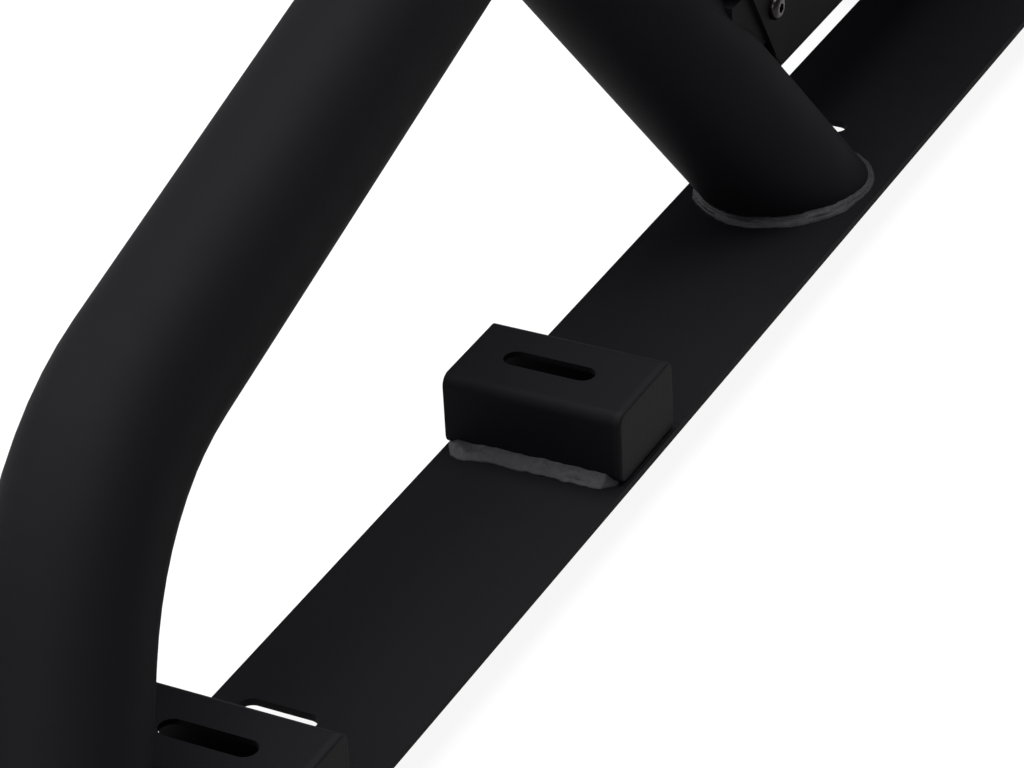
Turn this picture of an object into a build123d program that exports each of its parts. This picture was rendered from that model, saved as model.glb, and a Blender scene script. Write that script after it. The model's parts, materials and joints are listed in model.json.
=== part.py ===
"""Olympic flat bench press: bar rack with side frames, bench, safety arms and spotter-deck tabs.

Millimetres, +Z up, +X to the lifter's side of the deck tabs' closed ends, +Y towards the lifter's
feet. The origin is on the floor at the middle of the machine's outline. Each side frame is drawn
once, on the +X side, and mirrored.
"""
import os

from build123d import *

# ---- driving dimensions ----------------------------------------------------------------------
FOOT_GAP = 26.0            # rubber feet lift the floor strips by this much
STRIP_W = 100.0            # flat bar of the floor strips
STRIP_T = 4.0
STRIP_IN = 592.0           # X of the strip's inner edge
STRIP_START = -1110.0      # Y of the strip's spotter end
STRIP_END = 182.5          # Y of the strip's other end
TOP = FOOT_GAP + STRIP_T   # Z of the strip's top face

TUBE_R = 39.5              # round frame tube
TUBE_WALL = 3.0
FIT_GAP = 0.6              # cope of one round tube on another
SLOT_LENGTH = 50.0
SLOT_W = 13.0

TAB_L = 98.0               # deck tabs: short 60 x 40 tubes welded across the strip
TAB_B = 60.0
TAB_H = 40.0
TAB_WALL = 3.0
TAB_EDGE = 6.0
TAB_CAP = 4.0
TAB_PITCH = 333.0
TAB_FIRST = -887.0         # Y of the first tab's middle
TAB_SLOT_X = 44.7          # slot middle from the strip's inner edge
ANCHOR_X = 34.5            # floor anchor slots from the strip's inner edge
ANCHOR_FIRST = -814.3      # Y of the first anchor slot
ANCHOR_PITCH = 608.0
ANCHOR_LENGTH = 41.0

LEAN_IN = 0.3625           # each side frame's tubes lie in one plane that leans in by this slope
MID_X = STRIP_IN + STRIP_W / 2
RAIL_FOOT_Y = -1034.6
RAIL_LEG_SLOPE = 0.892     # the leg's run towards +Y for each mm of height
RAIL_RISE_SLOPE = 0.192    # the long run's rise for each mm along Y
KNEE_H = 161.5             # height of the knee's corner over the strip
KNEE_R = 219.5
BRACE_FOOT_Y = -276.5
BRACE_TOP_Y = -427.4       # where the brace meets the rail's centre line

UP_W = 120.0               # uprights, 120 x 80 tube
UP_D = 80.0
UP_X = STRIP_IN - 52.0     # upright's middle
UP_Y = 62.5
UP_TOP = 1250.0
UP_WALL = 4.0
PLATE_IN = 130.0           # foot plates reach this far inwards from the strip
SHOE_W = 160.0             # wide box that the upright stands on
SHOE_H = 190.0

TIE_X0 = STRIP_IN - 28.0   # box tie between the brace and the upright
TIE_X1 = STRIP_IN + 48.0
TIE_Z0 = TOP + 68.0
TIE_Z1 = TOP + 158.0
TIE_GAP = 3.0              # the tie's raked end stands this far off the brace
TIE_SCREW_Y = -286.0
TIE_SCREW_Z = (TIE_Z0 + TIE_Z1) / 2

BAR_LEVELS = 4
BAR_FIRST = 870.0
BAR_STEP = 90.0
BAR_R = 16.0

POST_X = UP_X - 30.0       # safety arm's square post
POST_Y = 167.5
POST_S = 50.0
POST_Z0 = 470.0
POST_Z1 = 910.0
SLEEVE_IN = 51.6
SLEEVE_WALL = 5.0
SLEEVE_Z0 = 590.0
SLEEVE_H = 110.0
ARM_LENGTH = 560.0
HOLE_STEP = 50.0
PIN_R = 8.0
POST_HOLE_R = 8.7
PIN_Z = SLEEVE_Z0 + SLEEVE_H / 2

SPINE_W = 60.0
SPINE_H = 80.0
PAD_TOP = 430.0
PAD_T = 60.0
PAD_W = 300.0
PAD_L = 1120.0
PAD_Y0 = -60.0
BOARD_T = 18.0
BRACKET_T = 6.0
SPINE_TOP = PAD_TOP - PAD_T - BOARD_T - BRACKET_T
SPINE_Y0 = 0.0
SPINE_Y1 = 1048.0
LEG_Y = 1008.0
FOOT_BAR = 60.0
FOOT_BAR_L = 560.0

WHEEL_R = 32.0
WHEEL_W = 24.0
WHEEL_LIFT = 4.0
WHEEL_Y = 1078.0
WHEEL_X = 215.0
AXLE_R = 6.0

PARTS = {}


# ---- helpers -----------------------------------------------------------------------------------
def block(x0, x1, y0, y1, z0, z1):
    """Plain box between two corners."""
    middle = Pos((x0 + x1) / 2, (y0 + y1) / 2, (z0 + z1) / 2)
    return middle * Box(abs(x1 - x0), abs(y1 - y0), abs(z1 - z0))


def rod(radius, start, end):
    """Round bar from one point to another."""
    a = Vector(*start)
    b = Vector(*end)
    plane = Plane(origin=a, z_dir=b - a)
    return extrude(plane * Circle(radius), (b - a).length)


def box_tube(width, height, radius, wall, plane, length):
    """Rectangular tube with rounded edges; wall 0 gives a solid bar."""
    outer = RectangleRounded(width, height, radius)
    section = outer
    if wall:
        inner = RectangleRounded(width - 2 * wall, height - 2 * wall, max(radius - wall, 0.8))
        section = outer - inner
    return extrude(plane * section, length)


def slot_cutter(x, y, z, depth, length=SLOT_LENGTH):
    """Oblong cutter along X, centred on x, y, going down from z."""
    outline = Plane(origin=(x, y, z)) * SlotOverall(length, SLOT_W)
    return extrude(outline, -depth)


def add(name, shape):
    """Keep a finished sub-part under its node name."""
    PARTS[name] = shape


def add_pair(name, shape):
    """Keep a sub-part and its mirror image on the other side."""
    add(name + "_r", shape)
    add(name + "_l", mirror(shape, about=Plane.YZ))


# ---- side frame --------------------------------------------------------------------------------
def rail_points():
    """Corners of the rail's centre line: under the foot, the knee, and past the upright's face."""
    leg = Vector(-LEAN_IN, RAIL_LEG_SLOPE, 1)
    run = Vector(-LEAN_IN * RAIL_RISE_SLOPE, 1, RAIL_RISE_SLOPE)
    foot = Vector(MID_X, RAIL_FOOT_Y, TOP)
    knee = foot + leg * KNEE_H
    return foot - leg * 50, knee, knee + run * (UP_Y - knee.Y)


def swept_tube(path, radius, wall):
    """Round tube along a path."""
    section = Plane(origin=path @ 0, z_dir=path % 0) * (Circle(radius) - Circle(radius - wall))
    return sweep(section, path=path)


def rail_tube():
    """Bent round tube: leg on the strip, knee, then a long run up to the upright."""
    low, knee, high = rail_points()
    tube = swept_tube(FilletPolyline(low, knee, high, radius=KNEE_R), TUBE_R, TUBE_WALL)
    below = block(300, 900, -1300, -600, -200, TOP)
    face = UP_Y - UP_D / 2
    beyond = block(300, 900, face, face + 200, 200, 900)
    return tube - below - beyond


def brace_ends():
    """Foot and top points of the brace's centre line."""
    knee, high = rail_points()[1:]
    foot = Vector(MID_X, BRACE_FOOT_Y, TOP)
    share = (BRACE_TOP_Y - knee.Y) / (high.Y - knee.Y)
    return foot, knee + (high - knee) * share


def brace_bar(radius):
    """Solid round bar along the brace, running past the strip at its foot."""
    foot, top = brace_ends()
    run = (top - foot).normalized()
    start = foot - run * 60
    return rod(radius, (start.X, start.Y, start.Z), (top.X, top.Y, top.Z))


def brace_tube():
    """Straight round tube from the strip to the rail, coped onto the rail."""
    tube = brace_bar(TUBE_R) - brace_bar(TUBE_R - TUBE_WALL)
    below = block(400, 900, -700, -100, -200, TOP)
    knee, high = rail_points()[1:]
    run = (high - knee).normalized()
    top = brace_ends()[1]
    start = top - run * 200
    end = top + run * 200
    rail = rod(TUBE_R + FIT_GAP, (start.X, start.Y, start.Z), (end.X, end.Y, end.Z))
    return tube - below - rail


def tie_box():
    """Box tie: raked front end along the brace, square end on the upright."""
    face = UP_Y - UP_D / 2
    start = BRACE_FOOT_Y - 130
    width = TIE_X1 - TIE_X0
    height = TIE_Z1 - TIE_Z0
    plane = Plane(
        origin=((TIE_X0 + TIE_X1) / 2, start, (TIE_Z0 + TIE_Z1) / 2), x_dir=(1, 0, 0), z_dir=(0, 1, 0)
    )
    tube = box_tube(width, height, 8, 3, plane, face - start)
    foot, top = brace_ends()
    run = (top - foot).normalized()
    rake = -run.Y / run.Z
    cut_y = BRACE_FOOT_Y + TUBE_R + TIE_GAP
    outline = Polyline(
        (start - 200, TOP),
        (cut_y, TOP),
        (cut_y - rake * 250, TOP + 250),
        (start - 200, TOP + 250),
        close=True,
    )
    wedge = extrude(Plane.YZ * make_face(outline), 900)
    hole = rod(4.2, (TIE_X1 - 5, TIE_SCREW_Y, TIE_SCREW_Z), (TIE_X1 + 5, TIE_SCREW_Y, TIE_SCREW_Z))
    return tube - wedge - brace_bar(TUBE_R + 2) - hole


def tie_lug():
    """Lug on the brace that reaches into the tie's raked end."""
    x1 = TIE_X1 - 3
    y1 = TIE_SCREW_Y + 22
    foot, top = brace_ends()
    low = TIE_SCREW_Z - 20
    middle = foot + (top - foot) * ((low - foot.Z) / (top.Z - foot.Z))
    lug = block(x1 - 8, x1, middle.Y, y1, low, low + 40)
    hole = rod(4.2, (x1 - 20, TIE_SCREW_Y, TIE_SCREW_Z), (x1 + 5, TIE_SCREW_Y, TIE_SCREW_Z))
    return keep_largest(lug - brace_bar(TUBE_R) - hole)


def keep_largest(shape):
    """Largest solid of a cut."""
    return max(shape.solids(), key=lambda s: s.bounding_box().max.Y)


def button_screw(x, y, z, shank):
    """M8 button-head screw with a hexagon socket, head towards +X, seat at x."""
    head = Pos(x, y, z) * Rotation(0, 90, 0) * Cylinder(7, 4.4, align=(Align.CENTER, Align.CENTER, Align.MIN))
    head = fillet(head.edges().group_by(Axis.X)[-1], 3.2)
    body = rod(4.0, (x - shank, y, z), (x, y, z))
    socket = extrude(Plane(origin=(x + 1.6, y, z), z_dir=(1, 0, 0)) * RegularPolygon(2.9, 6), 5)
    return head + body - socket


def side_frame():
    """Floor strip, foot plate, deck tabs, rail, brace, tie, shoe and upright."""
    x0 = STRIP_IN
    x1 = STRIP_IN + STRIP_W
    strip = block(x0, x1, STRIP_START, STRIP_END, FOOT_GAP, TOP)
    for k in range(2):
        y = ANCHOR_FIRST + k * ANCHOR_PITCH
        strip = strip - slot_cutter(x0 + ANCHOR_X, y, TOP + 1, 20, ANCHOR_LENGTH)
    strip = fillet(strip.edges().filter_by(Axis.Z).group_by(Axis.X)[-1], 12)
    add_pair("floor_strip", strip)

    plate = block(x0 - PLATE_IN, x0, UP_Y - 80, STRIP_END, FOOT_GAP, TOP)
    plate = fillet(plate.edges().filter_by(Axis.Z).group_by(Axis.X)[0], 25)
    add_pair("upright_foot_plate", plate)

    caps = []
    for k, letter in enumerate("ab"):
        y = TAB_FIRST + k * TAB_PITCH
        plane = Plane(origin=(x0, y, TOP + TAB_H / 2), x_dir=(0, 1, 0), z_dir=(1, 0, 0))
        tab = box_tube(TAB_B, TAB_H, TAB_EDGE, TAB_WALL, plane, TAB_L - TAB_CAP)
        tab = tab - slot_cutter(x0 + TAB_SLOT_X, y, TOP + TAB_H + 1, 10)
        add_pair("deck_tab_" + letter, tab)
        plane = Plane(origin=(x0 + TAB_L - TAB_CAP, y, TOP + TAB_H / 2), x_dir=(0, 1, 0), z_dir=(1, 0, 0))
        cap = box_tube(TAB_B, TAB_H, TAB_EDGE, 0, plane, TAB_CAP)
        caps.append(fillet(cap.edges().group_by(Axis.X)[-1], 1.5))
    add_pair("deck_tab_caps", Compound(children=caps))

    add_pair("rail_tube", rail_tube())
    add_pair("brace_tube", brace_tube() + tie_lug())
    add_pair("tie_box", tie_box())
    plane = Plane(
        origin=(UP_X - UP_W / 2 + SHOE_W / 2, UP_Y, TOP), x_dir=(1, 0, 0), z_dir=(0, 0, 1)
    )
    shoe = box_tube(SHOE_W, UP_D, 10, UP_WALL, plane, SHOE_H - 6)
    lid = Pos(0, 0, SHOE_H - 6) * extrude(plane * RectangleRounded(SHOE_W, UP_D, 10), 6)
    add_pair("upright_shoe", shoe + lid)
    add_pair("tie_screw", button_screw(TIE_X1, TIE_SCREW_Y, TIE_SCREW_Z, 16))

    plane = Plane(origin=(UP_X, UP_Y, TOP + SHOE_H), x_dir=(1, 0, 0), z_dir=(0, 0, 1))
    upright = box_tube(UP_W, UP_D, 10, UP_WALL, plane, UP_TOP - TOP - SHOE_H - 5)
    add_pair("upright", upright)
    cap = extrude(Plane(origin=(UP_X, UP_Y, UP_TOP - 5)) * RectangleRounded(UP_W, UP_D, 10), 5)
    plug = extrude(
        Plane(origin=(UP_X, UP_Y, UP_TOP - 23)) * RectangleRounded(UP_W - 9, UP_D - 9, 6), 18
    )
    cap = chamfer(cap.edges().group_by(Axis.Z)[-1], 2)
    add_pair("upright_cap", cap + plug)


# ---- bar catches, plate pegs, feet ---------------------------------------------------------------
def hook_plate(x0, x1, rise):
    """Saw-tooth plate with one saddle for each bar level; rise lifts the saddle's floor."""
    y0 = UP_Y + UP_D / 2 + 8
    z_low = BAR_FIRST - 70
    z_high = BAR_FIRST + (BAR_LEVELS - 1) * BAR_STEP + 55
    plate = block(x0, x1, y0, y0 + 16, z_low, z_high)
    reach = y0 + 66
    for k in range(BAR_LEVELS):
        z = BAR_FIRST + k * BAR_STEP
        outline = Polyline(
            (y0 + 10, z - 52),
            (reach, z - 14),
            (reach, z + 26),
            (reach - 12, z + 30),
            (y0 + 10, z + 30),
            close=True,
        )
        tooth = extrude(Plane.YZ * make_face(outline), x1)
        tooth = tooth & block(x0, x1, y0, reach + 5, z - 60, z + 60)
        middle = y0 + 16 + BAR_R + 1
        seat = z + BAR_R - rise
        tooth = tooth - rod(BAR_R + 1, (x0 - 1, middle, seat), (x1 + 1, middle, seat))
        tooth = tooth - block(x0 - 1, x1 + 1, middle - BAR_R - 1, middle + BAR_R + 1, seat, z + 60)
        plate = plate + tooth
    return plate


def catches_and_pegs():
    """Multi-level bar catches with wear liners, and two plate pegs a side."""
    face = UP_Y + UP_D / 2
    z_low = BAR_FIRST - 90
    z_high = BAR_FIRST + (BAR_LEVELS - 1) * BAR_STEP + 75
    left = UP_X + 10
    back = block(left, left + 50, face, face + 8, z_low, z_high)
    bracket = back + hook_plate(left + 5, left + 15, 4) + hook_plate(left + 35, left + 45, 4)
    add_pair("bar_catch", bracket)
    add_pair("catch_liner", hook_plate(left + 15, left + 35, 1))

    outer = UP_X + UP_W / 2
    for name, z in (("low", 450.0), ("high", 920.0)):
        flange = rod(45, (outer, UP_Y, z), (outer + 8, UP_Y, z))
        horn = rod(25, (outer + 8, UP_Y, z), (outer + 215, UP_Y, z))
        horn = chamfer(horn.edges().group_by(Axis.X)[-1], 3)
        add_pair("plate_peg_" + name, flange + horn)

    feet = []
    places = (
        (STRIP_IN + 50, STRIP_START + 45),
        (STRIP_IN + 35, -500.0),
        (STRIP_IN + 60, STRIP_END - 45),
        (STRIP_IN - 75, STRIP_END - 45),
    )
    for x, y in places:
        foot = extrude(Plane(origin=(x, y, 0)) * Circle(26), FOOT_GAP, taper=6)
        feet.append(foot)
    add_pair("side_feet", Compound(children=feet))


# ---- safety arms -----------------------------------------------------------------------------------
def safety_arm():
    """Square post with holes, sliding sleeve with its arm, wear strip and pull pin."""
    face = UP_Y + UP_D / 2
    half = POST_S / 2
    plane = Plane(origin=(POST_X, POST_Y, POST_Z0), x_dir=(1, 0, 0), z_dir=(0, 0, 1))
    post = box_tube(POST_S, POST_S, 5, 3, plane, POST_Z1 - POST_Z0)
    for z0 in (POST_Z0 - 8, POST_Z1):
        post = post + block(POST_X - half, POST_X + half, face, POST_Y + half, z0, z0 + 8)
    holes = int((POST_Z1 - POST_Z0) / HOLE_STEP)
    for k in range(-holes, holes):
        z = PIN_Z + k * HOLE_STEP
        if POST_Z0 + 25 < z < POST_Z1 - 25:
            drill = rod(POST_HOLE_R, (POST_X - half - 2, POST_Y, z), (POST_X - half + 6, POST_Y, z))
            post = post - drill
    add_pair("safety_post", post)

    outer = SLEEVE_IN + 2 * SLEEVE_WALL
    plane = Plane(origin=(POST_X, POST_Y, SLEEVE_Z0), x_dir=(1, 0, 0), z_dir=(0, 0, 1))
    section = RectangleRounded(outer, outer, 8) - RectangleRounded(SLEEVE_IN, SLEEVE_IN, 4)
    sleeve = extrude(plane * section, SLEEVE_H)
    front = POST_Y + outer / 2
    arm_z = SLEEVE_Z0 + SLEEVE_H - 30
    plane = Plane(origin=(POST_X, front - 1, arm_z), x_dir=(1, 0, 0), z_dir=(0, 1, 0))
    arm = box_tube(50, 50, 6, 3, plane, ARM_LENGTH + 1)
    end = block(POST_X - 25, POST_X + 25, front + ARM_LENGTH, front + ARM_LENGTH + 8, arm_z - 25, arm_z + 60)
    end = fillet(end.edges().filter_by(Axis.Y), 8)
    outline = Polyline(
        (front - 1, SLEEVE_Z0 + 4), (front + 90, arm_z - 24), (front - 1, arm_z - 24), close=True
    )
    gusset = extrude(Plane.YZ * make_face(outline), 800) & block(POST_X - 4, POST_X + 4, 0, 400, 500, 900)
    inner_face = POST_X - outer / 2
    drill = rod(PIN_R + 0.3, (inner_face - 2, POST_Y, PIN_Z), (inner_face + 8, POST_Y, PIN_Z))
    add_pair("safety_arm", sleeve + arm + end + gusset - drill)

    strip = block(
        POST_X - 19, POST_X + 19, front + 12, front + ARM_LENGTH - 2, arm_z + 25, arm_z + 33
    )
    strip = fillet(strip.edges().filter_by(Axis.Y).group_by(Axis.Z)[-1], 3)
    add_pair("arm_wear_strip", strip)

    barrel = rod(13.5, (inner_face - 26, POST_Y, PIN_Z), (inner_face, POST_Y, PIN_Z))
    barrel = chamfer(barrel.edges().group_by(Axis.X)[0], 1.5)
    barrel = barrel - rod(PIN_R + 0.3, (inner_face - 30, POST_Y, PIN_Z), (inner_face + 2, POST_Y, PIN_Z))
    add_pair("pin_barrel", barrel)

    tip = inner_face + SLEEVE_WALL
    pin = rod(PIN_R, (inner_face - 48, POST_Y, PIN_Z), (tip - 1, POST_Y, PIN_Z))
    pin = chamfer(pin.edges().group_by(Axis.X)[-1], 1)
    back = inner_face - 28
    knob = rod(18, (back - 24, POST_Y, PIN_Z), (back, POST_Y, PIN_Z))
    knob = fillet(knob.edges(), 6)
    add_pair("pull_pin", pin + knob)


# ---- bench -----------------------------------------------------------------------------------------
def bench():
    """Cross tube, spine, legs, brackets, board and pad."""
    inner = UP_X - UP_W / 2
    plane = Plane(origin=(-inner + 8, UP_Y, TOP + 50), x_dir=(0, 1, 0), z_dir=(1, 0, 0))
    cross = box_tube(60, 60, 6, 3, plane, 2 * inner - 16)
    for side in (-1, 1):
        x = side * inner
        flange = block(x, x - side * 8, UP_Y - 38, UP_Y + 38, TOP + 2, TOP + 118)
        cross = cross + flange
    add("cross_tube", cross)
    bolts = []
    for side in (-1, 1):
        for y in (-1, 1):
            x = side * (inner - 8)
            head = extrude(
                Plane(origin=(x, UP_Y + y * 22, TOP + 100), z_dir=(-side, 0, 0)) * RegularPolygon(10, 6), 8
            )
            bolts.append(head)
    add("cross_bolts", Compound(children=bolts))

    plane = Plane(origin=(0, UP_Y, TOP + 80), x_dir=(1, 0, 0), z_dir=(0, 0, 1))
    add("spine_post", box_tube(60, 60, 6, 3, plane, SPINE_TOP - SPINE_H - TOP - 80))
    plane = Plane(origin=(0, SPINE_Y0, SPINE_TOP - SPINE_H / 2), x_dir=(1, 0, 0), z_dir=(0, 1, 0))
    add("spine", box_tube(SPINE_W, SPINE_H, 6, 3, plane, SPINE_Y1 - SPINE_Y0))
    caps = []
    for y0 in (SPINE_Y0 - 4, SPINE_Y1):
        plane = Plane(origin=(0, y0, SPINE_TOP - SPINE_H / 2), x_dir=(1, 0, 0), z_dir=(0, 1, 0))
        caps.append(box_tube(SPINE_W, SPINE_H, 6, 0, plane, 4))

    bar_top = FOOT_GAP + FOOT_BAR
    plane = Plane(origin=(0, LEG_Y, bar_top), x_dir=(1, 0, 0), z_dir=(0, 0, 1))
    add("front_leg", box_tube(60, 80, 6, 3, plane, SPINE_TOP - SPINE_H - bar_top))
    plane = Plane(
        origin=(-FOOT_BAR_L / 2, LEG_Y, FOOT_GAP + FOOT_BAR / 2), x_dir=(0, 1, 0), z_dir=(1, 0, 0)
    )
    add("foot_bar", box_tube(FOOT_BAR, FOOT_BAR, 6, 3, plane, FOOT_BAR_L))
    feet = []
    for side in (-1, 1):
        x = side * FOOT_BAR_L / 2
        plane = Plane(origin=(x, LEG_Y, FOOT_GAP + FOOT_BAR / 2), x_dir=(0, 1, 0), z_dir=(side, 0, 0))
        caps.append(box_tube(FOOT_BAR, FOOT_BAR, 6, 0, plane, 4))
        feet.append(extrude(Plane(origin=(side * 250, LEG_Y, 0)) * Circle(26), FOOT_GAP, taper=6))
    add("tube_caps", Compound(children=caps))
    add("foot_bar_feet", Compound(children=feet))

    brackets = []
    for y in (130.0, 520.0, 910.0):
        bar = block(-125, 125, y - 25, y + 25, SPINE_TOP, SPINE_TOP + BRACKET_T)
        brackets.append(fillet(bar.edges().filter_by(Axis.Z), 8))
    add("pad_brackets", Compound(children=brackets))
    z0 = SPINE_TOP + BRACKET_T
    middle = PAD_Y0 + PAD_L / 2
    board = extrude(Plane(origin=(0, middle, z0)) * RectangleRounded(PAD_W - 16, PAD_L - 16, 32), BOARD_T)
    add("pad_board", board)
    pad = extrude(
        Plane(origin=(0, middle, z0 + BOARD_T)) * RectangleRounded(PAD_W, PAD_L, 40), PAD_T
    )
    add("bench_pad", fillet(pad.edges().group_by(Axis.Z)[-1], 16))


def wheels():
    """Two transport wheels in forks on the foot bar's outer face."""
    face = LEG_Y + FOOT_BAR / 2
    z = WHEEL_R + WHEEL_LIFT
    forks = []
    for side, letter in ((1, "r"), (-1, "l")):
        x = side * WHEEL_X
        fork = None
        for out in (-1, 1):
            x0 = x + out * (WHEEL_W / 2 + 2)
            x1 = x0 + out * 5
            cheek = block(x0, x1, face, WHEEL_Y + 10, z - 11, z + 34)
            cheek = fillet(cheek.edges().filter_by(Axis.X).group_by(Axis.Y)[-1], 9)
            fork = cheek if fork is None else fork + cheek
        pin = rod(AXLE_R, (x - WHEEL_W / 2 - 9, WHEEL_Y, z), (x + WHEEL_W / 2 + 9, WHEEL_Y, z))
        forks.append(fork + pin)
        wheel = rod(WHEEL_R, (x - WHEEL_W / 2, WHEEL_Y, z), (x + WHEEL_W / 2, WHEEL_Y, z))
        wheel = fillet(wheel.edges(), 4)
        wheel = wheel - rod(AXLE_R + 0.08, (x - 30, WHEEL_Y, z), (x + 30, WHEEL_Y, z))
        for end in (-1, 1):
            rim = x + end * WHEEL_W / 2
            dish = rod(20, (rim + end, WHEEL_Y, z), (rim - end * 4, WHEEL_Y, z))
            hub = rod(11, (rim + end, WHEEL_Y, z), (rim - end * 4, WHEEL_Y, z))
            wheel = wheel - (dish - hub)
        add("wheel_" + letter, wheel)
    add("wheel_forks", Compound(children=forks))


side_frame()
catches_and_pegs()
safety_arm()
bench()
wheels()

os.makedirs("parts", exist_ok=True)
for node, solid in PARTS.items():
    export_step(solid, os.path.join("parts", node + ".step"))
print(len(PARTS), "nodes")
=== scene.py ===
"""Looks for the Olympic flat bench: powder coat, welds, upholstery, floor, light and camera."""
import json
import math
import random

import bmesh
import bpy
from mathutils import Matrix, Vector, noise
from mathutils.bvhtree import BVHTree


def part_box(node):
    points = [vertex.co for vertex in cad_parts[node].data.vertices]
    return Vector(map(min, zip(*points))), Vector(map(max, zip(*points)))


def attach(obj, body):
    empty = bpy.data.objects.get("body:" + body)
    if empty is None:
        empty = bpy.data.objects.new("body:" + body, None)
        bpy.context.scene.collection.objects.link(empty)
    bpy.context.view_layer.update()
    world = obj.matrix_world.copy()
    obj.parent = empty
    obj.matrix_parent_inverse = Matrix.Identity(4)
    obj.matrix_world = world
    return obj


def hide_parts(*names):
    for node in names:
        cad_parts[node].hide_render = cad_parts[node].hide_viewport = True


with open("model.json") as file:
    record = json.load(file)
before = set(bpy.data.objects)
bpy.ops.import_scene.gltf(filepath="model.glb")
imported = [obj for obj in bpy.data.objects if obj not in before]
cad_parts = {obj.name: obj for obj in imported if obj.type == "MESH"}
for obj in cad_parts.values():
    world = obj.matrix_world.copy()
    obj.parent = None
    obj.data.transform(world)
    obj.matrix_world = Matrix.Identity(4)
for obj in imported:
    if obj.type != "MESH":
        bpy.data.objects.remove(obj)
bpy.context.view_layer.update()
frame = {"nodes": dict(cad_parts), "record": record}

NODES = frame["nodes"]
SIDES = (("r", 1), ("l", -1))
MM = 0.001


# ---- node-tree helpers ---------------------------------------------------------------------------
# A Mix node has sockets for every data type; these are the ones of its colours.
MIX_COLOURS = (6, 7)
MIX_RESULT = 2


class Tree:
    """Short-hand for building one procedural material."""

    def __init__(self, name, **sockets):
        self.mat = bpy.data.materials.new(name)
        self.mat.use_nodes = True
        self.nodes = self.mat.node_tree.nodes
        self.links = self.mat.node_tree.links
        self.bsdf = self.nodes["Principled BSDF"]
        for key, value in sockets.items():
            self.bsdf.inputs[key.replace("_", " ")].default_value = value
        self.where = self.nodes.new("ShaderNodeTexCoord").outputs["Object"]

    def link(self, source, target):
        """Join an output to an input."""
        self.links.new(source, target)

    def texture(self, kind, scale, stretch=None):
        """Texture node in metres, stretched along axes if asked."""
        node = self.nodes.new(kind)
        node.inputs["Scale"].default_value = scale
        source = self.where
        if stretch:
            mapping = self.nodes.new("ShaderNodeMapping")
            mapping.inputs["Scale"].default_value = stretch
            self.link(source, mapping.inputs["Vector"])
            source = mapping.outputs["Vector"]
        self.link(source, node.inputs["Vector"])
        return node

    def noise(self, scale, detail=4.0, rough=0.55, stretch=None):
        """Noise value, 0..1."""
        node = self.texture("ShaderNodeTexNoise", scale, stretch)
        node.inputs["Detail"].default_value = detail
        node.inputs["Roughness"].default_value = rough
        return node.outputs["Fac"]

    def cells(self, scale):
        """Distance to the nearest cell's middle, with soft borders."""
        node = self.texture("ShaderNodeTexVoronoi", scale)
        node.feature = "SMOOTH_F1"
        return node.outputs["Distance"]

    def ramp(self, source, stops):
        """Colour ramp from (position, colour or grey) stops."""
        node = self.nodes.new("ShaderNodeValToRGB")
        band = node.color_ramp
        while len(band.elements) < len(stops):
            band.elements.new(0.5)
        for element, (place, colour) in zip(band.elements, stops):
            element.position = place
            if not hasattr(colour, "__len__"):
                colour = (colour, colour, colour)
            element.color = (*colour[:3], 1.0)
        self.link(source, node.inputs["Fac"])
        return node.outputs["Color"]

    def remap(self, source, low, high):
        """Map 0..1 onto low..high."""
        node = self.nodes.new("ShaderNodeMapRange")
        node.inputs["To Min"].default_value = low
        node.inputs["To Max"].default_value = high
        self.link(source, node.inputs["Value"])
        return node.outputs["Result"]

    def math(self, kind, a, b):
        """Math node on two sources or numbers."""
        node = self.nodes.new("ShaderNodeMath")
        node.operation = kind
        for slot, value in enumerate((a, b)):
            if isinstance(value, (int, float)):
                node.inputs[slot].default_value = value
            else:
                self.link(value, node.inputs[slot])
        return node.outputs["Value"]

    def mix(self, fac, a, b):
        """Mix two colours by a factor; either may be a constant."""
        node = self.nodes.new("ShaderNodeMix")
        node.data_type = "RGBA"
        self.link(fac, node.inputs[0])
        for slot, value in zip(MIX_COLOURS, (a, b)):
            if hasattr(value, "__len__"):
                node.inputs[slot].default_value = (*value[:3], 1.0)
            else:
                self.link(value, node.inputs[slot])
        return node.outputs[MIX_RESULT]

    def bump(self, height, strength, distance, under=None):
        """Bump node; returns its normal."""
        node = self.nodes.new("ShaderNodeBump")
        node.inputs["Strength"].default_value = strength
        node.inputs["Distance"].default_value = distance
        self.link(height, node.inputs["Height"])
        if under is not None:
            self.link(under, node.inputs["Normal"])
        return node.outputs["Normal"]

    def colour(self, source):
        """Drive the base colour."""
        self.link(source, self.bsdf.inputs["Base Color"])

    def rough(self, source):
        """Drive the roughness."""
        self.link(source, self.bsdf.inputs["Roughness"])

    def normal(self, source):
        """Drive the normal."""
        self.link(source, self.bsdf.inputs["Normal"])


# ---- materials -----------------------------------------------------------------------------------
def powder_coat(name, dark, light, specular, rough_low, rough_high):
    """Matt black powder coat: fine orange-peel texture, faint clouding and pale specks."""
    t = Tree(name, Specular_IOR_Level=specular)
    cloud = t.noise(9.0, 5.0, 0.6)
    speck = t.noise(420.0, 3.0, 0.6)
    tone = t.mix(t.remap(cloud, 0.15, 0.85), dark, light)
    dust = t.ramp(speck, ((0.60, 0.0), (0.78, 1.0)))
    dusty = tuple(c * 1.5 for c in light)
    t.colour(t.mix(t.math("MULTIPLY", dust, 0.35), tone, dusty))
    t.rough(t.remap(t.noise(30.0, 4.0, 0.6), rough_low, rough_high))
    grain = t.noise(1100.0, 3.0, 0.5)
    peel = t.noise(260.0, 2.0, 0.5)
    t.normal(t.bump(grain, 0.32, 0.0002, t.bump(peel, 0.16, 0.0004)))
    return t.mat


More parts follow.
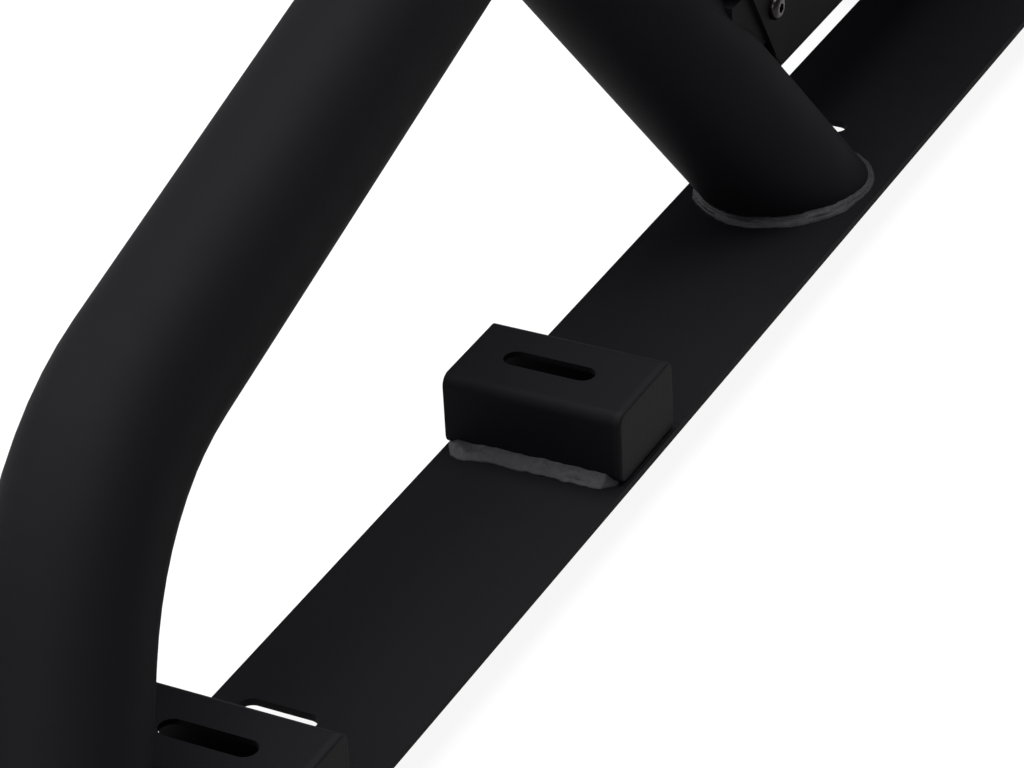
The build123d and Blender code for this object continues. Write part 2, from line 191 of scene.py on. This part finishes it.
def weld_coat():
    """Powder coat over a weld: paler and gritty."""
    t = Tree("weld_coat", Specular_IOR_Level=0.30)
    pits = t.noise(520.0, 4.0, 0.7)
    t.colour(t.ramp(pits, ((0.34, (0.0035, 0.0032, 0.0042)), (0.62, (0.0115, 0.0107, 0.0132)))))
    t.rough(t.remap(t.noise(200.0, 3.0), 0.45, 0.75))
    t.normal(t.bump(pits, 0.55, 0.0006))
    return t.mat


def cap_coat_painted_light():
    """Coat over a cap plate ground flush, with grinder marks; its paler tone is painted light, the
    brightness its end face catches.
    """
    t = Tree("cap_painted_light", Specular_IOR_Level=0.05)
    marks = t.noise(90.0, 6.0, 0.7, (1.0, 6.0, 1.4))
    grit = t.noise(700.0, 3.0, 0.6)
    # Both tones are paler than the frame's coat: painted light on the caps' end faces.
    t.colour(t.mix(t.remap(marks, 0.2, 0.8), (0.0030, 0.0027, 0.0032), (0.0058, 0.0053, 0.0061)))
    t.rough(t.remap(grit, 0.55, 0.72))
    t.normal(t.bump(grit, 0.3, 0.0003, t.bump(marks, 0.3, 0.0006)))
    return t.mat


def vinyl():
    """Black upholstery vinyl with a fine pebble grain."""
    t = Tree("pad_vinyl", Specular_IOR_Level=0.45, Coat_Weight=0.08, Coat_Roughness=0.35)
    cells = t.cells(520.0)
    fold = t.noise(24.0, 5.0, 0.6)
    t.colour(t.mix(t.remap(fold, 0.2, 0.8), (0.012, 0.012, 0.013), (0.022, 0.021, 0.023)))
    t.rough(t.remap(t.noise(60.0, 4.0), 0.36, 0.52))
    t.normal(t.bump(cells, 0.35, 0.0005, t.bump(fold, 0.12, 0.003)))
    return t.mat


def stitched_thread():
    """Grey upholstery thread with a visible twist."""
    t = Tree("pad_thread", Specular_IOR_Level=0.3)
    twist = t.noise(1800.0, 2.0, 0.5)
    t.colour(t.ramp(twist, ((0.3, (0.02, 0.02, 0.022)), (0.7, (0.07, 0.07, 0.075)))))
    t.rough(t.remap(twist, 0.6, 0.85))
    t.normal(t.bump(twist, 0.5, 0.0004))
    return t.mat


def plywood():
    """Black-stained plywood: long grain with paler pores."""
    t = Tree("board_black", Specular_IOR_Level=0.35)
    grain = t.noise(60.0, 6.0, 0.65, (9.0, 0.6, 9.0))
    t.colour(t.ramp(grain, ((0.35, (0.010, 0.009, 0.008)), (0.7, (0.045, 0.038, 0.032)))))
    t.rough(t.remap(grain, 0.55, 0.8))
    t.normal(t.bump(grain, 0.3, 0.0008))
    return t.mat


def rubber(name, dark, light):
    """Matt moulded rubber with scuffs."""
    t = Tree(name, Specular_IOR_Level=0.3)
    scuff = t.noise(70.0, 6.0, 0.7)
    fine = t.noise(900.0, 2.0, 0.5)
    t.colour(t.ramp(scuff, ((0.4, dark), (0.8, light))))
    t.rough(t.remap(scuff, 0.62, 0.9))
    t.normal(t.bump(fine, 0.35, 0.0004))
    return t.mat


def plastic(name, dark, light, low, high):
    """Moulded plastic with a fine spark-eroded texture."""
    t = Tree(name, Specular_IOR_Level=0.4)
    cloud = t.noise(18.0, 4.0)
    fine = t.noise(1300.0, 2.0, 0.5)
    t.colour(t.mix(cloud, dark, light))
    t.rough(t.remap(t.noise(45.0, 5.0, 0.6), low, high))
    t.normal(t.bump(fine, 0.25, 0.0003))
    return t.mat


def steel(name, colour_low, colour_high, low, high, stretch):
    """Bare or plated steel with drawn brush marks along one axis."""
    t = Tree(name, Metallic=1.0)
    brush = t.noise(140.0, 5.0, 0.6, stretch)
    cloud = t.noise(16.0, 5.0, 0.6)
    t.colour(t.mix(cloud, colour_low, colour_high))
    t.rough(t.remap(brush, low, high))
    t.normal(t.bump(brush, 0.12, 0.0003))
    return t.mat


def pull_pin_finish(name, split, sign):
    """Plated pin with a black moulded knob: the knob is what lies past split towards the middle."""
    t = Tree(name, Specular_IOR_Level=0.45)
    parts = t.nodes.new("ShaderNodeSeparateXYZ")
    t.link(t.where, parts.inputs["Vector"])
    along = t.math("MULTIPLY", parts.outputs["X"], float(sign))
    knob = t.math("LESS_THAN", along, split)
    brush = t.noise(300.0, 4.0, 0.6, (0.3, 3.0, 3.0))
    shine = t.mix(brush, (0.42, 0.42, 0.43), (0.62, 0.62, 0.63))
    t.colour(t.mix(knob, shine, (0.012, 0.012, 0.013)))
    t.link(t.math("SUBTRACT", 1.0, knob), t.bsdf.inputs["Metallic"])
    t.rough(t.math("ADD", t.math("MULTIPLY", knob, 0.2), t.remap(brush, 0.16, 0.34)))
    t.normal(t.bump(t.noise(900.0, 2.0), 0.15, 0.0003))
    return t.mat


POWDER_DARK = (0.0027, 0.0024, 0.0032)
POWDER_LIGHT = (0.0039, 0.0035, 0.0045)
POWDER = powder_coat("frame_powder", POWDER_DARK, POWDER_LIGHT, 0.042, 0.60, 0.72)
WELD = weld_coat()
CAP_PAINTED_LIGHT = cap_coat_painted_light()
VINYL = vinyl()
THREAD = stitched_thread()
FINISH = {
    "frame_powder": POWDER,
    "board_black": plywood(),
    "wear_plastic": plastic("wear_plastic", (0.03, 0.03, 0.033), (0.05, 0.05, 0.054), 0.4, 0.6),
    "cap_plastic": plastic("cap_plastic", (0.008, 0.008, 0.009), (0.014, 0.014, 0.015), 0.4, 0.58),
    "screw_steel": steel("screw_steel", (0.012, 0.011, 0.011), (0.03, 0.028, 0.027), 0.2, 0.4, (1, 1, 1)),
    "peg_steel": steel("peg_steel", (0.42, 0.42, 0.43), (0.56, 0.56, 0.57), 0.24, 0.40, (0.25, 4, 4)),
    "foot_rubber": rubber("foot_rubber", (0.010, 0.010, 0.010), (0.026, 0.025, 0.024)),
    "wheel_rubber": rubber("wheel_rubber", (0.018, 0.018, 0.019), (0.045, 0.044, 0.042)),
    "pad_vinyl": VINYL,
}


# Where a pin's knob ends, from the pin's inner end; a pin without a knob has it far off the part.
KNOB_LENGTH = 24 * MM
NO_KNOB = -10.0


def finish_cad_nodes():
    """Give every CAD node its procedural material by record slot."""
    slots = {row["node"]: row["material_slot"] for row in frame["record"]["subparts"]}
    for node, obj in NODES.items():
        kind = slots[node]
        if kind == "pin_steel":
            side = 1 if node.endswith("_r") else -1
            low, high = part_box(node)
            inner = low.x if side > 0 else -high.x
            split = inner + KNOB_LENGTH if "pull" in node else NO_KNOB
            material = pull_pin_finish("pin_steel_" + node, split, side)
        # The tab caps get the paler coat, which is painted light on their end faces.
        elif node.startswith("deck_tab_caps"):
            material = CAP_PAINTED_LIGHT
        else:
            material = FINISH[kind]
        if not obj.material_slots:
            obj.data.materials.append(material)
        for place in obj.material_slots:
            place.material = material


finish_cad_nodes()


# ---- mesh helpers --------------------------------------------------------------------------------
def piece(name, verts, faces, body, slot, *materials):
    """New smooth-shaded mesh piece that rides on a body."""
    mesh = bpy.data.meshes.new(name)
    mesh.from_pydata([tuple(v) for v in verts], [], faces)
    mesh.validate()
    mesh.update()
    obj = bpy.data.objects.new(name, mesh)
    bpy.context.scene.collection.objects.link(obj)
    for material in materials:
        mesh.materials.append(material)
    for polygon in mesh.polygons:
        polygon.use_smooth = True
    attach(obj, body)
    return obj


def resample(points, step, closed):
    """Evenly spaced points along a polyline."""
    loop = list(points) + ([points[0]] if closed else [])
    total = sum((b - a).length for a, b in zip(loop, loop[1:]))
    count = max(4, round(total / step))
    gap = total / count
    out = []
    travelled = 0.0
    want = 0.0
    for a, b in zip(loop, loop[1:]):
        span = (b - a).length
        while want <= travelled + span + 1e-9 and len(out) < count + (0 if closed else 1):
            out.append(a.lerp(b, (want - travelled) / span if span else 0.0))
            want += gap
        travelled += span
    return out


BEAD_STEP = 0.9 * MM
BEAD_SIDES = 12
RIPPLE_PITCH = 3.4 * MM
BEAD_ROOT = 0.5 * MM
BEAD_TAPER = 9.0


def weld(name, points, out_dir, up_dir, leg_out, leg_up, closed=True, seed=0, share=None):
    """Hand-laid fillet bead along a path. out_dir and up_dir give the two faces' directions at a
    point, share scales the bead's size there."""
    path = resample(points, BEAD_STEP, closed)
    count = len(path)
    rng = random.Random(seed)
    shift = rng.uniform(0, 50)
    verts = []
    faces = []
    for i, p in enumerate(path):
        out = out_dir(p).normalized()
        up = up_dir(p).normalized()
        swell = (out + up).normalized()
        s = i * BEAD_STEP
        slow = noise.noise(Vector((s * 45, shift, 0.0)))
        toe = leg_out * (1.0 + 0.30 * slow + 0.12 * noise.noise(Vector((s * 200, shift, 4.0))))
        top = leg_up * (1.0 - 0.25 * slow + 0.16 * noise.noise(Vector((s * 160, shift, 9.0))))
        end = share(p) if share else 1.0
        if not closed:
            end = min(1.0, 0.25 + min(i, count - 1 - i) / BEAD_TAPER)
        for k in range(BEAD_SIDES):
            t = k / (BEAD_SIDES - 1)
            streak = noise.noise(Vector((s * 70 + 2.0 * t, t * 6.5 + shift, 2.0)))
            grit = noise.noise(Vector((s * 500, t * 9.0, shift)))
            ripple = math.sin(s / RIPPLE_PITCH * math.pi + 2.4 * t + 3.0 * slow)
            relief = (0.55 + 1.0 * streak + 0.35 * grit + 0.10 * ripple) * MM
            bulge = relief * math.sin(math.pi * t) ** 0.6
            verts.append(p + out * (toe * end * (1 - t)) + up * (top * end * t) + swell * (bulge * end))
        verts.append(p - swell * BEAD_ROOT)
    width = BEAD_SIDES + 1
    last = count if closed else count - 1
    for i in range(last):
        j = (i + 1) % count
        for k in range(width):
            m = (k + 1) % width
            faces.append((i * width + k, i * width + m, j * width + m, j * width + k))
    if not closed:
        faces.append(tuple(range(width)))
        faces.append(tuple(range((count - 1) * width, count * width))[::-1])
    obj = piece(name, verts, faces, "frame", "frame_powder", WELD)
    bm = bmesh.new()
    bm.from_mesh(obj.data)
    bmesh.ops.recalc_face_normals(bm, faces=bm.faces)
    bm.to_mesh(obj.data)
    bm.free()


RIM_WINDOW = 7
RIM_BIN = 2
RIM_OUTER = 0.955


def rim_points(node, test, centre, axis):
    """Outer outline of the vertices of a node that pass a test, sorted round an axis. A vertex is on
    the outer one if none within RIM_WINDOW degrees of it reaches much farther out."""
    axis = axis.normalized()
    side = axis.orthogonal().normalized()
    other = axis.cross(side)
    found = []
    for v in NODES[node].data.vertices:
        if test(v.co):
            d = v.co - centre
            x = d.dot(side)
            y = d.dot(other)
            found.append((math.degrees(math.atan2(y, x)), math.hypot(x, y), v.co.copy()))
    outer = {}
    for angle, reach, point in found:
        near = max(r for a, r, p in found if abs((a - angle + 180) % 360 - 180) < RIM_WINDOW)
        if reach > RIM_OUTER * near:
            outer[round(angle / RIM_BIN)] = (angle, point)
    return [point for angle, point in sorted(outer.values(), key=lambda pair: pair[0])]


# ---- welds ---------------------------------------------------------------------------------------
UP = Vector((0, 0, 1))
ON_PLANE = 0.3 * MM
ON_HOST = 1.6 * MM
TAB_TUCK = 3 * MM
TAB_OVERRUN = 1 * MM


def outward(centre, axis):
    """Direction away from a centre line through centre, square to axis."""
    axis = axis.normalized()

    def direction(p):
        d = p - centre
        return d - axis * d.dot(axis)

    return direction


def constant(*v):
    """Same direction everywhere."""
    vector = Vector(v)
    return lambda p: vector


def tab_welds(side, sign):
    """Long bead on each side of both deck tabs, from the open end to just past the closed one."""
    for letter, seed in (("a", 11), ("b", 23)):
        low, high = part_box("deck_tab_%s_%s" % (letter, side))
        inner, outer = (low.x, high.x) if sign > 0 else (high.x, low.x)
        for name, y, way in (("near", low.y, -1), ("far", high.y, 1)):
            start = Vector((inner + sign * TAB_OVERRUN, y - way * TAB_TUCK, low.z))
            end = Vector((outer + sign * TAB_OVERRUN, y - way * TAB_TUCK, low.z))
            title = "weld_tab_%s_%s_%s" % (letter, name, side)
            out, up = constant(0, way, 0), constant(0, 0, 1)
            weld(title, [start, end], out, up, 11 * MM, 6.5 * MM, False, seed + way)


def base_centre(node, cut_z):
    """Centre of a node's outline at a height."""
    near = [v.co for v in NODES[node].data.vertices if abs(v.co.z - cut_z) < ON_PLANE]
    low = Vector((min(p.x for p in near), min(p.y for p in near), cut_z))
    high = Vector((max(p.x for p in near), max(p.y for p in near), cut_z))
    return (low + high) / 2


FADE = 0.62


def foot_weld(node, name, axis, leg, seed, thin=None):
    """Bead round the foot of a tube that stands on a plate; thin is the side where it fades."""
    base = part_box(node)[0].z
    centre = base_centre(node, base)

    def fade(p):
        return 1.0 - FADE * max(0.0, (p - centre).normalized().dot(thin)) ** 2

    points = rim_points(node, lambda p: abs(p.z - base) < ON_PLANE, centre, UP)
    share = None if thin is None else fade
    weld(name, points, outward(centre, UP), constant(*axis), leg, leg * 0.9, True, seed, share)


def saddle_weld(tube, host, name, leg, seed):
    """Bead where a tube's coped end meets the tube that carries it."""
    tree = BVHTree.FromObject(NODES[host], bpy.context.evaluated_depsgraph_get())
    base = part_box(tube)[0].z
    foot = base_centre(tube, base)

    def touches(p):
        return tree.find_nearest(p, ON_HOST)[0] is not None

    near = [v.co for v in NODES[tube].data.vertices if touches(v.co)]
    top = sum(near, Vector()) / len(near)
    axis = (top - foot).normalized()
    points = rim_points(tube, touches, top, axis)
    radial = outward(top, axis)

    def along_host(p):
        normal = tree.find_nearest(p)[1]
        away = radial(p).normalized()
        return away - normal * away.dot(normal)

    weld(name, points, along_host, constant(*(-axis)), leg, leg, True, seed)


def face_weld(node, name, face, way, leg, seed):
    """Bead where a tube's end meets a flat face square to Y."""
    ends = [v.co for v in NODES[node].data.vertices if abs(v.co.y - face) < ON_PLANE]
    middle = sum(ends, Vector()) / len(ends)
    along = Vector((0, 1, 0))
    points = rim_points(node, lambda p: abs(p.y - face) < ON_PLANE, middle, along)
    weld(name, points, outward(middle, along), constant(0, way, 0), leg, leg * 0.8, True, seed)


# Sideways lean of both round tubes: about the tangent of their plane's 20 degrees.
LEAN = 0.36


def frame_welds():
    """Every visible weld of both side frames and the bench frame."""
    for side, sign in SIDES:
        tab_welds(side, sign)
        lean = -LEAN * sign
        thin = Vector((0.8 * sign, 0.6, 0))
        foot_weld("brace_tube_" + side, "weld_brace_foot_" + side, (lean, -0.6, 1), 6.5 * MM, 5, thin)
        foot_weld("rail_tube_" + side, "weld_rail_foot_" + side, (lean, 0.89, 1), 7 * MM, 7)
        foot_weld("upright_shoe_" + side, "weld_shoe_foot_" + side, (0, 0, 1), 6 * MM, 9)
        foot_weld("upright_" + side, "weld_upright_foot_" + side, (0, 0, 1), 5 * MM, 10)
        saddle_weld("brace_tube_" + side, "rail_tube_" + side, "weld_brace_top_" + side, 6.5 * MM, 15)
        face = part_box("upright_" + side)[0].y
        face_weld("rail_tube_" + side, "weld_rail_end_" + side, face, -1, 6.5 * MM, 13)
        face_weld("tie_box_" + side, "weld_tie_end_" + side, face, -1, 5 * MM, 14)
    foot_weld("spine_post", "weld_spine_post_foot", (0, 0, 1), 5 * MM, 31)
    foot_weld("front_leg", "weld_front_leg_foot", (0, 0, 1), 5 * MM, 32)


frame_welds()


# ---- bench pad -----------------------------------------------------------------------------------
PAD_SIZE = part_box("bench_pad")


def rounded_outline(half_x, half_y, radius, per_corner=10):
    """Closed rounded-rectangle outline, counter-clockwise."""
    points = []
    for k, (sx, sy) in enumerate(((1, 1), (-1, 1), (-1, -1), (1, -1))):
        start = k * math.pi / 2
        cx = sx * (half_x - radius)
        cy = sy * (half_y - radius)
        for i in range(per_corner + 1):
            a = start + i / per_corner * math.pi / 2
            points.append(Vector((cx + radius * math.cos(a), cy + radius * math.sin(a), 0)))
    return points


# The cushion before it is swelled: what it keeps free inside its box, its corners' radius, its gap
# above the board, and (share of the height, inset) of each ring from the board up.
PAD_MARGIN = 7 * MM
PAD_CORNER = 34 * MM
PAD_LIFT = 0.4 * MM
PAD_RINGS = (
    (0.0, 5 * MM), (0.12, 1.5 * MM), (0.35, 0.0), (0.62, 0.0),
    (0.80, 2.5 * MM), (0.92, 8 * MM), (0.97, 15 * MM),
)


def pad_mesh():
    """Plain cushion block with its top edge drawn in, ready to be swelled."""
    low, high = PAD_SIZE
    middle = (low + high) / 2
    half = (high - low) / 2
    thick = high.z - low.z
    bm = bmesh.new()
    rings = []
    for height, inset in PAD_RINGS:
        outline = rounded_outline(half.x - PAD_MARGIN - inset, half.y - PAD_MARGIN - inset, PAD_CORNER)
        z = low.z + PAD_LIFT + height * (thick - PAD_MARGIN)
        rings.append([bm.verts.new((middle.x + p.x, middle.y + p.y, z)) for p in outline])
    for a, b in zip(rings, rings[1:]):
        for i in range(len(a)):
            j = (i + 1) % len(a)
            bm.faces.new((a[i], a[j], b[j], b[i]))
    bm.faces.new(rings[0][::-1])
    bm.faces.new(rings[-1])
    mesh = bpy.data.meshes.new("bench_cushion")
    bm.to_mesh(mesh)
    bm.free()
    obj = bpy.data.objects.new("bench_cushion", mesh)
    bpy.context.scene.collection.objects.link(obj)
    return obj


def apply_modifiers(obj):
    """Bake the object's modifiers into its mesh."""
    graph = bpy.context.evaluated_depsgraph_get()
    mesh = bpy.data.meshes.new_from_object(obj.evaluated_get(graph), depsgraph=graph)
    obj.modifiers.clear()
    obj.data = mesh


def inflate(obj, cap, frames, pin_z):
    """Swell a mesh with Blender's Cloth, by cap at most; vertices at or under pin_z stay put."""
    before = [v.co.copy() for v in obj.data.vertices]
    group = obj.vertex_groups.new(name="pin")
    for v in obj.data.vertices:
        if v.co.z <= pin_z:
            group.add([v.index], 1.0, "REPLACE")
    cloth = obj.modifiers.new("cloth", "CLOTH")
    settings = cloth.settings
    settings.quality = 5
    settings.mass = 0.35
    settings.tension_stiffness = 22
    settings.compression_stiffness = 22
    settings.bending_stiffness = 4
    settings.use_pressure = True
    settings.uniform_pressure_force = 5.0
    settings.vertex_group_mass = "pin"
    settings.effector_weights.gravity = 0
    cloth.collision_settings.use_collision = False
    scene = bpy.context.scene
    cloth.point_cache.frame_start = 1
    cloth.point_cache.frame_end = frames
    for f in range(1, frames + 1):
        scene.frame_set(f)
    apply_modifiers(obj)
    for v, start in zip(obj.data.vertices, before):
        move = v.co - start
        if move.length > cap:
            v.co = start + move.normalized() * cap
    scene.frame_set(1)


# How the swelled cushion is shaped: voxels, how far the cloth may move it and what stays pinned,
# then the crown along its middle, the corners' drop, the sides' pull and the wrinkles on top.
PAD_VOXEL = 6 * MM
PAD_SWELL = 8 * MM
PAD_PINNED = 2.5 * MM
CLOTH_FRAMES = 20
CROWN = 7 * MM
CROWN_FROM = 18 * MM
CORNER_DROP = 6 * MM
WAIST = 0.018
WRINKLE = 0.5 * MM
WRINKLE_DEPTH = 24 * MM
OVER_BOX = 8 * MM


def bench_pad():
    """Cushion: swelled by cloth, smoothed, crowned, and kept near the CAD cushion's box."""
    low, high = PAD_SIZE
    obj = pad_mesh()
    remesh = obj.modifiers.new("remesh", "REMESH")
    remesh.mode = "VOXEL"
    remesh.voxel_size = PAD_VOXEL
    apply_modifiers(obj)
    inflate(obj, PAD_SWELL, CLOTH_FRAMES, low.z + PAD_PINNED)
    smooth = obj.modifiers.new("smooth", "SMOOTH")
    smooth.factor = 0.5
    smooth.iterations = 6
    apply_modifiers(obj)
    middle = (low + high) / 2
    half = (high - low) / 2
    for v in obj.data.vertices:
        x = (v.co.x - middle.x) / half.x
        y = (v.co.y - middle.y) / half.y
        wrinkle = noise.noise(Vector((v.co.x * 16, v.co.y * 11, v.co.z * 9)))
        edge = max(0.0, 1 - ((high.z - v.co.z) / WRINKLE_DEPTH) ** 2)
        crown = min(1.0, max(0.0, (v.co.z - low.z - CROWN_FROM) / (high.z - low.z - CROWN_FROM)))
        v.co.z += crown * (CROWN * (1 - x * x) * (1 - y ** 6) - CORNER_DROP * x * x * y ** 8)
        v.co.x -= (v.co.x - middle.x) * WAIST * (1 - y * y)
        v.co.z += WRINKLE * wrinkle * edge
        v.co.x = min(max(v.co.x, low.x), high.x)
        v.co.y = min(max(v.co.y, low.y), high.y)
        v.co.z = min(max(v.co.z, low.z + PAD_LIFT / 2), high.z + OVER_BOX)
    sub = obj.modifiers.new("sub", "SUBSURF")
    sub.levels = 1
    sub.render_levels = 1
    apply_modifiers(obj)
    for polygon in obj.data.polygons:
        polygon.use_smooth = True
    obj.data.materials.clear()
    obj.data.materials.append(VINYL)
    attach(obj, "frame")
    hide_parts("bench_pad")
    return obj


# Rays towards the cushion start on an outline this far outside it and aim this far inside.
SEAM_OUTSIDE = 30 * MM
SEAM_INSIDE = 60 * MM
SEAM_STEP = 5 * MM


def seam_path(tree, z):
    """Ring of (point, normal) on the cushion's side at a height."""
    low, high = PAD_SIZE
    middle = (low + high) / 2
    half = (high - low) / 2
    corner = PAD_CORNER + SEAM_OUTSIDE
    outline = rounded_outline(half.x + SEAM_OUTSIDE, half.y + SEAM_OUTSIDE, corner)
    points = []
    for p in resample(outline, SEAM_STEP, True):
        start = Vector((middle.x + p.x, middle.y + p.y, z))
        reach_x = max(-(half.x - SEAM_INSIDE), min(half.x - SEAM_INSIDE, p.x))
        reach_y = max(-(half.y - SEAM_INSIDE), min(half.y - SEAM_INSIDE, p.y))
        aim = Vector((middle.x + reach_x, middle.y + reach_y, z))
        hit = tree.ray_cast(start, (aim - start).normalized())
        if hit[0] is not None:
            points.append((hit[0], hit[1]))
    return points


PIPING_SIDES = 8
PIPING_RADIUS = 2.2 * MM
PIPING_SINK = 0.6 * MM


def piping_ring(name, path):
    """Closed round piping laid on a seam path, sunk a little into the cover."""
    sides = PIPING_SIDES
    verts = []
    faces = []
    count = len(path)
    for i, (p, normal) in enumerate(path):
        ahead = (path[(i + 1) % count][0] - path[i - 1][0]).normalized()
        out = (normal - ahead * normal.dot(ahead)).normalized()
        other = ahead.cross(out)
        centre = p - out * PIPING_SINK
        for k in range(sides):
            a = 2 * math.pi * k / sides
            verts.append(centre + (out * math.cos(a) + other * math.sin(a)) * PIPING_RADIUS)
    for i in range(count):
        j = (i + 1) % count
        for k in range(sides):
            m = (k + 1) % sides
            faces.append((i * sides + k, i * sides + m, j * sides + m, j * sides + k))
    piece(name, verts, faces, "frame", "pad_vinyl", VINYL)


# A stitch covers STITCH_SPAN of every STITCH_PITCH steps along its line. Its rings are given as
# (share of its length, radius in mm).
STITCH_STEP = 1.5 * MM
STITCH_PITCH = 5
STITCH_SPAN = 3
STITCH_SIDES = 6
STITCH_RINGS = ((0.0, 0.35), (0.25, 0.62), (0.75, 0.62), (1.0, 0.35))
STITCH_PROUD = 0.15 * MM


def stitch_row(name, path, drop):
    """Row of short raised stitches beside a seam, each a small rounded bar."""
    line = resample([p + UP * drop for p, normal in path], STITCH_STEP, True)
    normals = [normal for p, normal in path]
    verts = []
    faces = []
    sides = STITCH_SIDES
    for i in range(0, len(line) - STITCH_PITCH, STITCH_PITCH):
        a = line[i]
        b = line[i + STITCH_SPAN]
        out = normals[int(i / len(line) * len(normals)) % len(normals)]
        ahead = (b - a).normalized()
        other = ahead.cross(out).normalized()
        first = len(verts)
        for along, wide in STITCH_RINGS:
            centre = a.lerp(b, along) + out * STITCH_PROUD
            for k in range(sides):
                turn = 2 * math.pi * k / sides
                verts.append(centre + (out * math.cos(turn) + other * math.sin(turn)) * (wide * MM))
        for ring in range(len(STITCH_RINGS) - 1):
            base = first + ring * sides
            for k in range(sides):
                m = (k + 1) % sides
                faces.append((base + k, base + m, base + sides + m, base + sides + k))
        end = first + (len(STITCH_RINGS) - 1) * sides
        faces.append(tuple(range(first, first + sides))[::-1])
        faces.append(tuple(range(end, end + sides)))
    piece(name, verts, faces, "frame", "pad_vinyl", THREAD)


TOP_SEAM = 17 * MM
BASE_SEAM = 9 * MM
STITCH_DROP = 4.2 * MM


def pad_seams(cushion):
    """Piping round the cushion's top and bottom edges, with a stitch row between them by each."""
    low, high = PAD_SIZE
    tree = BVHTree.FromObject(cushion, bpy.context.evaluated_depsgraph_get())
    top = seam_path(tree, high.z - TOP_SEAM)
    base = seam_path(tree, low.z + BASE_SEAM)
    piping_ring("pad_piping_top", top)
    piping_ring("pad_piping_base", base)
    stitch_row("pad_stitches_top", top, -STITCH_DROP)
    stitch_row("pad_stitches_base", base, STITCH_DROP)


pad_seams(bench_pad())


# ---- floor, light, camera ------------------------------------------------------------------------
# The floor glows close to white, like the photograph's background, and takes only a faint shadow.
FLOOR_GLOW = 0.91
FLOOR_ALBEDO = 0.08
FLOOR_HALF = 60.0


def surface_stage():
    """Plain white floor."""
    t = Tree("floor_pale", Specular_IOR_Level=0.1, Roughness=0.9, Emission_Strength=FLOOR_GLOW)
    t.bsdf.inputs["Emission Color"].default_value = (1.0, 1.0, 1.0, 1.0)
    t.bsdf.inputs["Base Color"].default_value = (FLOOR_ALBEDO, FLOOR_ALBEDO, FLOOR_ALBEDO, 1.0)
    size = FLOOR_HALF
    corners = [(-size, -size, 0), (size, -size, 0), (size, size, 0), (-size, size, 0)]
    mesh = bpy.data.meshes.new("floor")
    mesh.from_pydata(corners, [], [(0, 1, 2, 3)])
    floor = bpy.data.objects.new("floor", mesh)
    mesh.materials.append(t.mat)
    bpy.context.scene.collection.objects.link(floor)


def area_light(name, place, target, size, power, colour=(1, 1, 1)):
    """Soft square area light aimed at a point."""
    data = bpy.data.lights.new(name, "AREA")
    data.shape = "SQUARE"
    data.size = size
    data.energy = power
    data.color = colour
    obj = bpy.data.objects.new(name, data)
    bpy.context.scene.collection.objects.link(obj)
    obj.location = place
    obj.rotation_euler = (Vector(target) - Vector(place)).to_track_quat("-Z", "Y").to_euler()


# The world is bright by the horizon and dims to its upper strength at this height of a direction.
HORIZON_STRENGTH = 0.96
SKY_STRENGTH = 0.28
SKY_FROM = 0.14


def studio():
    """White horizon under a dim sky, a key light from the left, one overhead and one in front."""
    world = bpy.data.worlds.new("studio")
    bpy.context.scene.world = world
    world.use_nodes = True
    background = world.node_tree.nodes["Background"]
    background.inputs["Color"].default_value = (0.98, 0.98, 1.0, 1.0)
    nodes = world.node_tree.nodes
    links = world.node_tree.links
    parts = nodes.new("ShaderNodeSeparateXYZ")
    links.new(nodes.new("ShaderNodeTexCoord").outputs["Generated"], parts.inputs["Vector"])
    glow = nodes.new("ShaderNodeMapRange")
    glow.inputs["From Max"].default_value = SKY_FROM
    glow.inputs["To Min"].default_value = HORIZON_STRENGTH
    glow.inputs["To Max"].default_value = SKY_STRENGTH
    links.new(parts.outputs["Z"], glow.inputs["Value"])
    links.new(glow.outputs["Result"], background.inputs["Strength"])
    area_light("key", (-3.4, -0.4, 3.6), (0.6, -0.5, 0.2), 3.2, 190.0, (0.97, 0.97, 1.0))
    area_light("top", (0.4, 0.2, 4.2), (0.5, -0.3, 0.0), 3.0, 360.0)
    area_light("front", (0.2, -4.2, 2.6), (0.6, -0.8, 0.2), 2.4, 130.0)
    bpy.context.scene.view_settings.view_transform = "Standard"


# Solved from the photograph's strip edges and tabs: degrees, millimetres of lens, shift, and the
# place in metres from where deck_tab_a's front meets the strip's inner edge.
CAMERA_YAW = 29.22
CAMERA_PITCH = 32.08
CAMERA_ROLL = 3.36
CAMERA_LENS = 146.1
CAMERA_SHIFT = 0.0283
CAMERA_FROM_TAB = Vector((0.8709, -1.1826, 1.1301))


def camera():
    """Long lens close to the base of the right side frame."""
    yaw, pitch, roll = (math.radians(a) for a in (CAMERA_YAW, CAMERA_PITCH, CAMERA_ROLL))
    ahead = Vector((-math.sin(yaw) * math.cos(pitch), math.cos(yaw) * math.cos(pitch), -math.sin(pitch)))
    level = Vector((math.cos(yaw), math.sin(yaw), 0))
    down = ahead.cross(level)
    right = level * math.cos(roll) + down * math.sin(roll)
    up = level * math.sin(roll) - down * math.cos(roll)
    data = bpy.data.cameras.new("camera")
    data.lens = CAMERA_LENS
    data.sensor_width = 36.0
    data.shift_x = CAMERA_SHIFT
    obj = bpy.data.objects.new("camera", data)
    strip_low, strip_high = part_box("floor_strip_r")
    tab_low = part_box("deck_tab_a_r")[0]
    corner = Vector((strip_low.x, tab_low.y, strip_high.z))
    place = corner + CAMERA_FROM_TAB
    rot = Matrix((right, up, -ahead)).transposed().to_4x4()
    obj.matrix_world = Matrix.Translation(place) @ rot
    bpy.context.scene.collection.objects.link(obj)
    bpy.context.scene.camera = obj


surface_stage()
studio()
camera()
